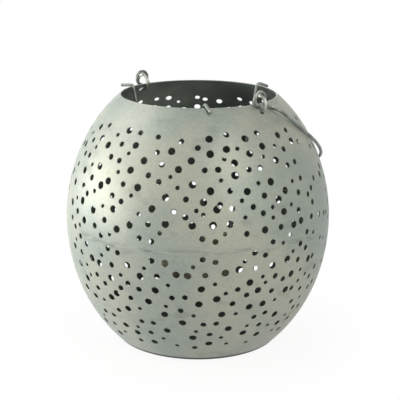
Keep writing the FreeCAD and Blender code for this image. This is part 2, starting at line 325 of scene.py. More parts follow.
class Finish:
    """A metal finish: a subclass says how its colour, roughness and relief vary."""

    name = "finish"
    metallic = 0.5

    def surface(self, board: NodeBoard, place: Signal) -> dict:
        """Lay the finish's patterns out.

        Args:
            board: the material's nodes.
            place: where on the lantern.

        Returns:
            The shader's varying inputs by name, and "Relief" in metres.
        """
        raise NotImplementedError

    def make(self) -> bpy.types.Material:
        """Build the material.

        Returns:
            The finished material.
        """
        material = bpy.data.materials.new(self.name)
        material.use_nodes = True
        board = NodeBoard(material.node_tree)
        place = board.node("ShaderNodeTexCoord", output="Object")
        inputs = self.surface(board, place)
        relief = inputs.pop("Relief")
        inputs["Normal"] = board.node("ShaderNodeBump", {},
                                      {"Strength": 1.0, "Distance": 1.0, "Height": relief})
        inputs["Metallic"] = self.metallic
        shader = board.node("ShaderNodeBsdfPrincipled", {}, inputs)
        board.node("ShaderNodeOutputMaterial", {}, {"Surface": shader})
        return material


@dataclass(frozen=True)
class SpunZinc(Finish):
    """Satin zinc plating on spun sheet, with faint spinning lines, smudges and specks."""

    name: str = "spun_zinc"
    metallic: float = 0.20
    bright: tuple = paint(0.42, 0.44, 0.385)
    dull: tuple = paint(0.245, 0.305, 0.305)
    stain: tuple = paint(0.15, 0.17, 0.165)
    roughness: float = 0.41
    waist_height: float = 0.0
    heat_reach: tuple = (0.0042, 0.0002)
    heat_strength: float = 0.65
    cloud_scale: float = 13.0
    cloud_edge: tuple = (0.37, 0.63)
    dent_scale: float = 22.0
    mottle_scale: float = 150.0
    fleck_scale: float = 650.0
    grain_scale: float = 1500.0
    smudge_scale: tuple = (45.0, 45.0, 80.0)
    smudge_edge: tuple = (0.58, 0.72)
    speck_scale: float = 210.0
    speck_size: float = 0.16
    speck_field_scale: float = 40.0
    speck_field_edge: tuple = (0.58, 0.66)
    shade_weights: tuple = (0.55, 0.22, 0.23, 0.9)
    stain_weights: tuple = (0.25, 0.5)
    rough_weights: tuple = (0.06, 0.06, 0.07, 0.04)
    relief_depths: tuple = (0.00018, 0.000012, 0.000012, 0.000004)

    def surface(self, board: NodeBoard, place: Signal) -> dict:
        """Clouds of plating, rings from the spinning, stains by the weld.

        Args:
            board: the material's nodes.
            place: where on the lantern.

        Returns:
            The shader's varying inputs by name.
        """
        cloud = board.noise(place, self.cloud_scale, detail=4.0, roughness=0.62)
        mottle = board.noise(place, self.mottle_scale, detail=4.0, roughness=0.65)
        fleck = board.noise(place, self.fleck_scale) - board.noise_middle
        grain = board.noise(place, self.grain_scale)
        dents = board.noise(place, self.dent_scale, detail=1.0)
        rings = board.spinning(place)
        smudge = board.noise(board.stretched(place, self.smudge_scale), 1.0, detail=3.0)
        smudge = smudge.ramp(*self.smudge_edge)
        field = board.noise(place, self.speck_field_scale).ramp(*self.speck_field_edge)
        speck = board.dots(place, self.speck_scale, self.speck_size) * field
        from_weld = board.node("ShaderNodeMath", {"operation": "ABSOLUTE"},
                               {0: board.height(place) - self.waist_height})
        heat = from_weld.ramp(*self.heat_reach) * board.scorch(place)
        patterns = (cloud.ramp(*self.cloud_edge), mottle, rings, fleck)
        colour = board.blend(layers(0.0, patterns, self.shade_weights), self.dull, self.bright)
        colour = board.blend(layers(0.0, (smudge, speck), self.stain_weights), colour, self.stain)
        colour = board.blend(heat * self.heat_strength, colour, self.stain)
        return {"Base Color": colour,
                "Roughness": layers(self.roughness, (cloud, mottle, smudge, rings),
                                    self.rough_weights),
                "Relief": layers(0.0, (dents, rings, mottle, grain), self.relief_depths)}


@dataclass(frozen=True)
class InnerZinc(Finish):
    """The inside of the shells: darker, duller plating, with painted shade that darkens it below the
    mouth.
    """

    name: str = "inner_zinc"
    metallic: float = 0.3
    bright: tuple = paint(0.33, 0.38, 0.37)
    dull: tuple = paint(0.23, 0.265, 0.26)
    # Painted shade: a darker colour for the inside below the mouth, where shade falls
    painted_deep_shade: tuple = paint(0.10, 0.12, 0.11)
    deep_shade_heights: tuple = (0.176, 0.145)
    deep_shade_waver: float = 0.01
    roughness: float = 0.5
    cloud_scale: float = 30.0
    cloud_edge: tuple = (0.3, 0.7)
    rough_weights: tuple = (0.15, 0.2)
    relief_depths: tuple = (0.00006, 0.00001)

    def surface(self, board: NodeBoard, place: Signal) -> dict:
        """Clouds of dull plating, with painted shade darkening the deep inside.

        Args:
            board: the material's nodes.
            place: where on the lantern.

        Returns:
            The shader's varying inputs by name.
        """
        cloud = board.noise(place, self.cloud_scale, detail=4.0, roughness=0.6)
        # Painted shade: the colour darkens with depth below the mouth, with a slightly wavy edge
        deep_shade = (board.height(place) + cloud * self.deep_shade_waver).ramp(*self.deep_shade_heights)
        colour = board.blend(cloud.ramp(*self.cloud_edge), self.dull, self.bright)
        rings = board.spinning(place)
        return {"Base Color": board.blend(deep_shade, colour, self.painted_deep_shade),
                "Roughness": layers(self.roughness, (cloud, deep_shade), self.rough_weights),
                "Relief": layers(0.0, (cloud, rings), self.relief_depths)}


@dataclass(frozen=True)
class DrawnWire(Finish):
    """Plated wire with a dull skin that is rubbed bright in places."""

    name: str = "drawn_wire"
    metallic: float = 0.6
    bright: tuple = paint(0.25, 0.28, 0.265)
    dull: tuple = paint(0.135, 0.155, 0.15)
    roughness: float = 0.34
    patch_scale: float = 130.0
    patch_edge: tuple = (0.36, 0.64)
    grain_scale: float = 1600.0
    pit_scale: float = 900.0
    pit_size: float = 0.2
    pit_field_edge: tuple = (0.5, 0.6)
    pit_strength: float = 0.5
    rough_weights: tuple = (0.12,)
    relief_depths: tuple = (0.00002, 0.000005, -0.00002)

    def surface(self, board: NodeBoard, place: Signal) -> dict:
        """Rubbed patches, fine grain and small pits.

        Args:
            board: the material's nodes.
            place: where on the lantern.

        Returns:
            The shader's varying inputs by name.
        """
        patch = board.noise(place, self.patch_scale, detail=4.0, roughness=0.6)
        grain = board.noise(place, self.grain_scale)
        pit = board.dots(place, self.pit_scale, self.pit_size) * patch.ramp(*self.pit_field_edge)
        colour = board.blend(patch.ramp(*self.patch_edge), self.dull, self.bright)
        return {"Base Color": board.blend(pit * self.pit_strength, colour, self.dull),
                "Roughness": layers(self.roughness, (patch,), self.rough_weights),
                "Relief": layers(0.0, (patch, grain, pit), self.relief_depths)}


@dataclass(frozen=True)
class WeldMetal(Finish):
    """Ground weld with scorched patches."""

    name: str = "weld_metal"
    metallic: float = 0.4
    bright: tuple = paint(0.36, 0.39, 0.365)
    scorched: tuple = paint(0.19, 0.205, 0.19)
    roughness: float = 0.5
    mark_scale: float = 900.0
    rough_weights: tuple = (0.2,)
    relief_depths: tuple = (0.00003, 0.0001)

    def surface(self, board: NodeBoard, place: Signal) -> dict:
        """Scorched patches and grinding marks.

        Args:
            board: the material's nodes.
            place: where on the lantern.

        Returns:
            The shader's varying inputs by name.
        """
        marks = board.noise(place, self.mark_scale)
        return {"Base Color": board.blend(board.scorch(place), self.bright, self.scorched),
                "Roughness": layers(self.roughness, (marks,), self.rough_weights),
                "Relief": layers(0.0, (marks, board.streaks(place)), self.relief_depths)}


@dataclass(frozen=True)
class CupTin(Finish):
    """Dull tin of the candle cup, brownish and sooty."""

    name: str = "cup_tin"
    metallic: float = 0.45
    bright: tuple = paint(0.60, 0.56, 0.42)
    dull: tuple = paint(0.36, 0.33, 0.24)
    roughness: float = 0.42
    tarnish_scale: float = 60.0
    tarnish_edge: tuple = (0.34, 0.66)
    drawing_scale: tuple = (900.0, 900.0, 12.0)
    rough_weights: tuple = (0.15, 0.05)
    relief_depths: tuple = (0.00003, 0.00001)

    def surface(self, board: NodeBoard, place: Signal) -> dict:
        """Drawing marks up the wall and a tarnish.

        Args:
            board: the material's nodes.
            place: where on the lantern.

        Returns:
            The shader's varying inputs by name.
        """
        tarnish = board.noise(place, self.tarnish_scale, detail=4.0, roughness=0.65)
        drawn = board.noise(board.stretched(place, self.drawing_scale), 1.0)
        return {"Base Color": board.blend(tarnish.ramp(*self.tarnish_edge), self.dull, self.bright),
                "Roughness": layers(self.roughness, (tarnish, drawn), self.rough_weights),
                "Relief": layers(0.0, (tarnish, drawn), self.relief_depths)}


@dataclass(frozen=True)
class WallCurve:
    """Outline of one half of the body, from the waist to the mouth or to the base.

    At a climb h from the waist the radius r keeps (h / curve height) ** a + (r / waist radius) ** b
    at 1, where fullness is (a, b). The direction is 1 for the upper half and -1 for the lower.
    """

    waist_radius: float
    waist_height: float
    height: float
    end_radius: float
    fullness: tuple
    direction: float
    samples: int = 401

    @property
    def curve_height(self) -> float:
        """Height at which the outline would close on the axis."""
        closing = 1.0 - (self.end_radius / self.waist_radius) ** self.fullness[1]
        return self.height / closing ** (1.0 / self.fullness[0])

    def radius(self, climb: np.ndarray) -> np.ndarray:
        """Outer radius at heights from the waist."""
        share = 1.0 - (climb / self.curve_height) ** self.fullness[0]
        return self.waist_radius * share ** (1.0 / self.fullness[1])

    def normal(self, climb: np.ndarray) -> tuple:
        """Find which way the outer face looks.

        Args:
            climb: heights from the waist.

        Returns:
            The outward normal as (radial, vertical), vertical counted away from the waist.
        """
        power, root = self.fullness
        share = climb / self.curve_height
        fall = share ** (power - 1.0) * power / self.curve_height
        slope = -self.waist_radius / root * (1.0 - share ** power) ** (1.0 / root - 1.0) * fall
        length = np.hypot(1.0, slope)
        return 1.0 / length, -slope / length

    def climb_at(self, wall_share: float) -> float:
        """Find a place by its share of the wall's length.

        Args:
            wall_share: 0 at the waist and 1 at the wall's end.

        Returns:
            Its height from the waist.
        """
        climbs = np.linspace(0.0, self.height, self.samples)
        radii = self.radius(climbs)
        lengths = np.concatenate(([0.0], np.cumsum(np.hypot(np.diff(climbs), np.diff(radii)))))
        return float(np.interp(wall_share * lengths[-1], lengths, climbs))

    def point(self, climb: float, inset: float) -> tuple:
        """(radius, height) of a point of the wall, moved inwards by the inset."""
        radial, vertical = self.normal(climb)
        return (float(self.radius(climb) - inset * radial),
                float(self.waist_height + self.direction * (climb - inset * vertical)))

    def stance(self, angle: float, climb: float) -> Matrix:
        """Stand something on the outer face.

        Args:
            angle: degrees round the lantern.
            climb: height from the waist.

        Returns:
            A place whose Z axis points straight out of the wall.
        """
        radial, vertical = self.normal(climb)
        outwards = around(angle, float(radial), self.direction * float(vertical))
        matrix = outwards.to_track_quat("Z", "Y").to_matrix().to_4x4()
        radius, height = self.point(climb, 0.0)
        matrix.translation = around(angle, radius, height)
        return matrix


def linked_edges(verts: list) -> list:
    """Edges that end at any of the points, each once and in a fixed order."""
    return list(dict.fromkeys(edge for vert in verts for edge in vert.link_edges))


class Bench:
    """A mesh while it is being shaped."""

    def __init__(self) -> None:
        """Start with nothing on the bench."""
        self.bm = bmesh.new()

    def turn(self, outline: list, steps: int, closed: bool) -> None:
        """Spin an outline round the lantern's axis.

        Args:
            outline: (radius, height) points in order.
            steps: facets round.
            closed: whether the last point joins the first.
        """
        verts = [self.bm.verts.new((radius, 0.0, height)) for radius, height in outline]
        pairs = list(zip(verts, verts[1:]))
        if closed:
            pairs.append((verts[-1], verts[0]))
        edges = [self.bm.edges.new(pair) for pair in pairs]
        self.spin(verts + edges, Vector(), UP, steps)

    def spin(self, section: list, centre: Vector, axis: Vector, steps: int) -> None:
        """Spin a section all the way round."""
        bmesh.ops.spin(self.bm, geom=section, cent=centre, axis=axis, dvec=(0, 0, 0),
                       angle=2.0 * math.pi, steps=steps, use_merge=True, use_duplicate=False)
        self.tidy()

    def tidy(self) -> None:
        """Merge what coincides and point the faces outwards."""
        bmesh.ops.remove_doubles(self.bm, verts=self.bm.verts[:], dist=MERGE_DISTANCE)
        bmesh.ops.recalc_face_normals(self.bm, faces=self.bm.faces[:])

    def stamp(self, tool: bpy.types.Mesh, matrix: Matrix) -> None:
        """Add a copy of a mesh at a place.

        Args:
            tool: the mesh to copy.
            matrix: where it goes.
        """
        before = len(self.bm.verts)
        self.bm.from_mesh(tool)
        self.bm.verts.ensure_lookup_table()
        bmesh.ops.transform(self.bm, matrix=matrix, verts=self.bm.verts[before:])

    def ring(self, centre: Vector, axis: Vector, radius: float, wire: float, steps: int) -> None:
        """Bend wire into a closed ring.

        Args:
            centre: middle of the ring.
            axis: direction that it is round.
            radius: from the middle to the middle of the wire.
            wire: radius of the wire.
            steps: facets round the ring.
        """
        outwards = axis.orthogonal().normalized()
        place = axis.cross(outwards).to_track_quat("Z", "Y").to_matrix().to_4x4()
        place.translation = centre + outwards * radius
        made = bmesh.ops.create_circle(self.bm, segments=WIRE_SIDES, radius=wire,
                                       matrix=place)["verts"]
        self.spin(made + linked_edges(made), centre, axis, steps)

    def mesh(self, name: str) -> bpy.types.Mesh:
        """Take the mesh off the bench.

        Args:
            name: the mesh's name.

        Returns:
            The mesh, without finishes.
        """
        made = bpy.data.meshes.new(name)
        self.bm.to_mesh(made)
        self.bm.free()
        return made

    def piece(self, name: str, finishes: list) -> bpy.types.Object:
        """Take the mesh off the bench as a smooth piece with its finishes."""
        return make_piece(name, self.mesh(name), finishes)


def read_field(items: bpy.types.bpy_prop_collection, field: str, width: int,
               kind: type) -> np.ndarray:
    """Read one field of all of a mesh's points, faces or corners.

    Args:
        items: the points, faces or corners.
        field: the field's name.
        width: how many numbers it has for each.
        kind: float or int.

    Returns:
        The numbers, a row for each item.
    """
    values = np.zeros(len(items) * width, kind)
    items.foreach_get(field, values)
    return values.reshape(-1, width)


def make_piece(name: str, mesh: bpy.types.Mesh, finishes: list) -> bpy.types.Object:
    """Put a mesh into the scene.

    Args:
        name: the piece's name.
        mesh: its mesh, in place.
        finishes: its materials, in slot order.

    Returns:
        The new object, at the origin.
    """
    made = bpy.data.objects.new(name, mesh)
    bpy.context.scene.collection.objects.link(made)
    for finish in finishes:
        mesh.materials.append(finish)
    mesh.shade_smooth()
    mesh.set_sharp_from_angle(angle=SMOOTH_ANGLE)
    return made


def hang(piece: bpy.types.Object, body: str, slot: str, *nodes: str) -> None:
    """Join a piece to a body of the frame.

    Args:
        piece: the finished object.
        body: the body that it rides on.
        slot: the record's slot for its finish; not used.
        nodes: the plain nodes that it stands for.
    """
    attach(piece, body)
    if nodes:
        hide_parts(*nodes)
    LOG.info("%s: %d faces, rides on %s", piece.name, len(piece.data.polygons), body)


class WireBender:
    """Bends round wire the way a maker does: straight runs and bends, one after another."""

    end_rounding = 0.3
    step_angle = 5.0
    fewest_steps = 3

    def __init__(self, bench: Bench, start: Vector, heading: Vector, wire: float) -> None:
        """Clamp the wire's first end.

        Args:
            bench: where the wire is made.
            start: middle of the first end.
            heading: direction of the wire there.
            wire: radius of the wire.
        """
        self.bm = bench.bm
        self.wire = wire
        self.spot = start.copy()
        self.heading = heading.normalized()
        self.rounding = wire * self.end_rounding
        place = self.heading.to_track_quat("Z", "Y").to_matrix().to_4x4()
        place.translation = self.spot
        made = bmesh.ops.create_circle(self.bm, cap_ends=True, segments=WIRE_SIDES,
                                       radius=wire - self.rounding, matrix=place)
        self._grip(made["verts"])
        self._advance(self.rounding, wire / (wire - self.rounding))

    def _grip(self, verts: list) -> None:
        """Take hold of the newest ring of points.

        Args:
            verts: the ring's points.
        """
        self.verts = list(verts)
        held = set(verts)
        self.edges = [edge for edge in linked_edges(self.verts) if held.issuperset(edge.verts)]

    def _advance(self, length: float, growth: float) -> None:
        """Draw the wire straight on and change its thickness.

        Args:
            length: how far to draw it.
            growth: its new thickness as a share of the old.
        """
        grown = bmesh.ops.extrude_edge_only(self.bm, edges=self.edges)["geom"]
        self._grip([item for item in grown if isinstance(item, bmesh.types.BMVert)])
        bmesh.ops.translate(self.bm, vec=self.heading * length, verts=self.verts)
        self.spot += self.heading * length
        bmesh.ops.scale(self.bm, vec=(growth, growth, growth), verts=self.verts,
                        space=Matrix.Translation(-self.spot))

    def run(self, length: float) -> None:
        """Draw the wire straight on."""
        self._advance(length, 1.0)

    def bend(self, degrees: float, bend_radius: float, axis: Vector) -> None:
        """Bend the wire.

        Args:
            degrees: angle of the bend.
            bend_radius: radius of the wire's middle line.
            axis: axis that the heading turns about, by the right hand.
        """
        centre = self.spot + axis.cross(self.heading).normalized() * bend_radius
        angle = math.radians(degrees)
        steps = max(self.fewest_steps, round(degrees / self.step_angle))
        made = bmesh.ops.spin(self.bm, geom=self.verts + self.edges, cent=centre, axis=axis,
                              dvec=(0, 0, 0), angle=angle, steps=steps, use_duplicate=False)
        self._grip([item for item in made["geom_last"] if isinstance(item, bmesh.types.BMVert)])
        turn = Matrix.Rotation(angle, 3, axis)
        self.spot = centre + turn @ (self.spot - centre)
        self.heading = turn @ self.heading

    def follow(self, corners: list, bend_radii: list) -> None:
        """Run from corner to corner, with a bend at each corner but the last.

        Args:
            corners: the corners after the start.
            bend_radii: a radius for each corner but the last.
        """
        for corner, after, bend_radius in zip(corners, corners[1:], bend_radii):
            onwards = (after - corner).normalized()
            turn = self.heading.angle(onwards)
            self.run((corner - self.spot).length - bend_radius * math.tan(turn / 2.0))
            self.bend(math.degrees(turn), bend_radius, self.heading.cross(onwards).normalized())
        self.run((corners[-1] - self.spot).length - self.rounding)

    def cut_off(self) -> None:
        """Round the wire's last end."""
        self._advance(self.rounding, (self.wire - self.rounding) / self.wire)
        bmesh.ops.contextual_create(self.bm, geom=self.edges)


@dataclass
class PunchedBody:
    """The two spun half shells with their punched holes, and the weld between them."""

    zinc: bpy.types.Material
    inner: bpy.types.Material
    weld: bpy.types.Material
    mouth_radius: float = 0.0581
    base_radius: float = 0.0615
    upper_fullness: tuple = (1.863, 2.203)
    lower_fullness: tuple = (2.077, 1.866)
    wall: float = 0.0008
    weld_height: float = 0.0008
    groove: float = 0.00012
    base_rounding: float = 0.0012
    steps_round: int = 180
    rows: int = 42
    punch_sides: int = 20
    punch_length: float = 0.0035
    flare: float = 0.0003
    # Degrees: where the table's front part ends, and how its middle is repeated behind
    front_first: float = -79.0
    front_last: float = 72.0
    pattern_turns: tuple = (120.0, 240.0)
    pattern_half: float = 60.0
    # Shares: how far a hole is off round, and its size against its punch
    most_oval: float = 0.05
    girths: tuple = (0.96, 1.05)
    # Shares of the groove that the weld fills, and that its crown wavers by
    bead_rise: float = 0.6
    bead_waver: tuple = (-0.6, 0.4)
    # Cosine from which a face counts as lying along the wall
    flush: float = 0.97
    lip_steps: int = 6
    edge_turns: tuple = (25.0, 50.0, 70.0, 90.0)
    floor_rings: tuple = (0.9, 0.6, 0.3, 0.0)
    inner_edge_ring: float = 0.98
    floor_reach: float = 1.5
    seed: int = 7

    def __post_init__(self) -> None:
        """Measure the frame."""
        low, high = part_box("seam_weld")
        self.waist_radius = high.x
        self.waist_height = (low.z + high.z) / 2.0
        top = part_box("upper_shell")[1].z
        self.upper = WallCurve(self.waist_radius, self.waist_height, top - self.waist_height,
                               self.mouth_radius, self.upper_fullness, 1.0)
        self.lower = WallCurve(self.waist_radius, self.waist_height, self.waist_height,
                               self.base_radius, self.lower_fullness, -1.0)
        self.random = random.Random(self.seed)

    def wall_rows(self, curve: WallCurve, last: float) -> tuple:
        """Divide the wall from the weld outwards.

        Args:
            curve: the wall's outline.
            last: share of its length at which the rows end.

        Returns:
            The (radius, height) points of its outer face, grooved at the weld, and of its inner.
        """
        first = self.weld_height / 2.0
        climbs = [max(first, curve.climb_at(last * row / self.rows)) for row in range(self.rows + 1)]
        outer, inner = ([curve.point(climb, inset) for climb in climbs] for inset in (0.0, self.wall))
        outer[0] = (outer[0][0] - self.groove, outer[0][1])
        return outer, inner

    def upper_outline(self) -> list:
        """Outline the upper shell, with a rounded edge at the mouth.

        Returns:
            The (radius, height) points of its closed section.
        """
        outer, inner = self.wall_rows(self.upper, 1.0 - self.wall / 2.0 / self.upper.height)
        start, end = Vector(outer[-1]), Vector(inner[-1])
        middle, half = (start + end) / 2.0, (start - end) / 2.0
        across = Vector((-half.y, half.x))
        lip = []
        for step in range(1, self.lip_steps):
            turn = math.pi * step / self.lip_steps
            lip.append(tuple(middle + half * math.cos(turn) + across * math.sin(turn)))
        return outer + lip + inner[::-1]

    def lower_outline(self) -> list:
        """Outline the lower shell, with a rounded edge at the base.

        Returns:
            The (radius, height) points of its section, which starts and ends on the axis.
        """
        outer, inner = self.wall_rows(self.lower, 1.0 - self.base_rounding / self.lower.height)
        edge = outer[-1]
        floor = self.base_radius - self.base_rounding
        rounding = []
        for turn in self.edge_turns:
            bend = math.radians(turn)
            rounding.append((edge[0] - (edge[0] - floor) * (1.0 - math.cos(bend)),
                             edge[1] * (1.0 - math.sin(bend))))
        under = [(floor * share, 0.0) for share in self.floor_rings]
        inside = [(inner[-1][0] * share, self.wall)
                  for share in (self.inner_edge_ring,) + self.floor_rings]
        return under[::-1] + rounding[::-1] + outer[::-1] + inner + inside

    def punch_tool(self, radius: float) -> bpy.types.Mesh:
        """Turn a round punch with a flared shoulder.

        Args:
            radius: radius of its shank.

        Returns:
            The punch, pointing down the Z axis.
        """
        bench = Bench()
        outline = [(0.0, -self.punch_length), (radius, -self.punch_length), (radius, -self.flare),
                   (radius + self.flare * 2.0, self.flare), (0.0, self.flare)]
        bench.turn(outline, self.punch_sides, closed=False)
        return bench.mesh("punch")

    def places(self, table: dict) -> list:
        """Lay the pattern out all round.

        Args:
            table: the places in front for each punch.

        Returns:
            (size, angle, wall share) of every hole.
        """
        found = []
        for size, front in table.items():
            for angle, share in front:
                found.append((size, angle, share))
                for turn in self.pattern_turns:
                    turned = (angle + turn) % 360.0
                    behind = self.front_last < turned < 360.0 + self.front_first
                    if behind and abs(angle) <= self.pattern_half:
                        found.append((size, turned, share))
        return found

    def punch(self, piece: bpy.types.Object, curve: WallCurve, table: dict, extra: list) -> None:
        """Punch the pattern and any extra holes through a shell.

        Args:
            piece: the shell.
            curve: its outline.
            table: the places in front for each punch.
            extra: (angle, climb, radius) of further holes.
        """
        bench = Bench()
        tools = {size: self.punch_tool(size.value) for size in PunchSize}
        for size, angle, share in self.places(table):
            oval = self.random.uniform(-self.most_oval, self.most_oval)
            girth = self.random.uniform(*self.girths)
            turn = Matrix.Rotation(self.random.uniform(0.0, math.pi), 4, "Z")
            shape = Matrix.Diagonal((girth * (1.0 + oval), girth * (1.0 - oval), 1.0, 1.0))
            bench.stamp(tools[size], curve.stance(angle, curve.climb_at(share)) @ turn @ shape)
        for angle, climb, radius in extra:
            bench.stamp(self.punch_tool(radius), curve.stance(angle, climb))
        cutter = bpy.data.objects.new("punches", bench.mesh("punches"))
        bpy.context.scene.collection.objects.link(cutter)
        cut = piece.modifiers.new("punching", "BOOLEAN")
        cut.operation = "DIFFERENCE"
        cut.solver = "MANIFOLD"
        cut.object = cutter
        graph = bpy.context.evaluated_depsgraph_get()
        punched = bpy.data.meshes.new_from_object(piece.evaluated_get(graph))
        piece.modifiers.clear()
        piece.data = punched
        bpy.data.objects.remove(cutter)

    def dress(self, piece: bpy.types.Object, curve: WallCurve) -> None:
        """Give the punched wall its true normals, and the inside its own finish.

        Args:
            piece: the punched shell.
            curve: its outline.
        """
        mesh = piece.data
        mesh.shade_smooth()
        mesh.set_sharp_from_angle(angle=SMOOTH_ANGLE)
        points = read_field(mesh.vertices, "co", 3, float)
        centres = read_field(mesh.polygons, "center", 3, float)
        facing = read_field(mesh.polygons, "normal", 3, float)
        counts = read_field(mesh.polygons, "loop_total", 1, int).ravel()
        corners = read_field(mesh.loops, "vertex_index", 1, int).ravel()

        outwards, depth = self.measure(curve, centres)
        along = np.einsum("ij,ij->i", outwards, facing)
        near = self.wall / 4.0
        outside = (np.abs(depth) < near) & (along > self.flush)
        inside = (np.abs(depth - self.wall) < near) & (along < -self.flush)
        on_floor = (curve is self.lower) & (centres[:, 2] < self.base_rounding * self.floor_reach)
        sense = np.where(outside, 1.0, np.where(inside, -1.0, 0.0)) * np.where(on_floor, 0.0, 1.0)
        true = self.measure(curve, points)[0]
        normals = true[corners] * np.repeat(sense, counts)[:, None]
        mesh.normals_split_custom_set(normals.tolist())

        within = np.where(on_floor, centres[:, 2] > self.wall / 2.0, depth > self.wall / 2.0)
        mesh.materials.clear()
        for finish in (self.zinc, self.inner):
            mesh.materials.append(finish)
        mesh.polygons.foreach_set("material_index", within.astype(int))
        mesh.update()

    def measure(self, curve: WallCurve, points: np.ndarray) -> tuple:
        """Compare points with the outer face.

        Args:
            curve: the wall's outline.
            points: places to compare.

        Returns:
            Outward normals and depths below the outer face.
        """
        radius = np.hypot(points[:, 0], points[:, 1])
        climb = np.clip(curve.direction * (points[:, 2] - curve.waist_height), 0.0, curve.height)
        radial, vertical = curve.normal(climb)
        share = radial / np.maximum(radius, self.wall)
        outwards = np.stack((points[:, 0] * share, points[:, 1] * share,
                             curve.direction * vertical), axis=1)
        return outwards, (curve.radius(climb) - radius) * radial

    def make_shell(self, name: str, curve: WallCurve, outline: list, closed: bool,
                   table: dict, extra: list) -> None:
        """Spin, punch and dress one shell.

        Args:
            name: the node that it stands for.
            curve: its outline curve.
            outline: the whole section's outline.
            closed: whether the section closes on itself.
            table: the punched places in front.
            extra: further holes.
        """
        bench = Bench()
        bench.turn(outline, self.steps_round, closed)
        piece = bench.piece("punched_" + name, [self.zinc])
        self.punch(piece, curve, table, extra)
        self.dress(piece, curve)
        hang(piece, "lantern", "spun_zinc", name)

    def make_weld(self) -> None:
        """Make the ground bead between the shells, a little uneven."""
        bench = Bench()
        half = self.weld_height / 2.0
        face = self.waist_radius - self.groove
        crown = face + self.groove * self.bead_rise
        back = self.waist_radius - self.wall
        low, high = self.waist_height - half, self.waist_height + half
        outline = [(back, low), (face, low), (crown, self.waist_height), (face, high), (back, high)]
        bench.turn(outline, self.steps_round * 2, closed=True)
        for vert in bench.bm.verts:
            if abs(vert.co.z - self.waist_height) < half / 2.0:
                swell = 1.0 + self.random.uniform(*self.bead_waver) * self.groove / face
                vert.co.x *= swell
                vert.co.y *= swell
        hang(bench.piece("weld_bead", [self.weld]), "lantern", "weld_metal", "seam_weld")

    def make(self, ring_holes: list) -> None:
        """Make both shells and the weld.

        Args:
            ring_holes: (angle, climb, radius) of the holes for the handle's rings.
        """
        self.make_shell("upper_shell", self.upper, self.upper_outline(), True, UPPER_PUNCHES, ring_holes)
        self.make_shell("lower_shell", self.lower, self.lower_outline(), False, LOWER_PUNCHES, [])
        self.make_weld()


@dataclass
class HandleRings:
    """Closed wire rings through the wall and over the edge of the mouth."""

    finish: bpy.types.Material
    upper: WallCurve
    angles: tuple = (45.0, -135.0)
    radius: float = 0.0056
    wire: float = 0.0012
    outset: float = 0.0035
    rise: float = 0.0004
    hole_clearance: float = 0.001
    steps_round: int = 56
    search_steps: int = 1000

    @property
    def centre_radius(self) -> float:
        """Distance of a ring's middle from the lantern's axis."""
        return self.upper.end_radius + self.outset

    @property
    def centre_height(self) -> float:
        """Height of a ring's middle."""
        return self.upper.waist_height + self.upper.height + self.rise

    def holes(self) -> list:
        """Find where the rings run through the wall.

        Returns:
            (angle, climb, radius) of their holes.
        """
        climbs = np.linspace(self.upper.height, 0.0, self.search_steps)
        rise = self.centre_height - self.upper.waist_height
        reach = np.hypot(self.upper.radius(climbs) - self.centre_radius, rise - climbs)
        crossing = float(climbs[np.argmax(reach > self.radius)])
        return [(angle, crossing, self.wire + self.hole_clearance) for angle in self.angles]

    def make(self) -> None:
        """Bend both rings."""
        bench = Bench()
        for angle in self.angles:
            centre = around(angle, self.centre_radius, self.centre_height)
            axis = around(angle + RIGHT_ANGLE, 1.0, 0.0)
            bench.ring(centre, axis, self.radius, self.wire, self.steps_round)
        hang(bench.piece("wire_rings", [self.finish]), "lantern", "bright_wire", "handle_rings")


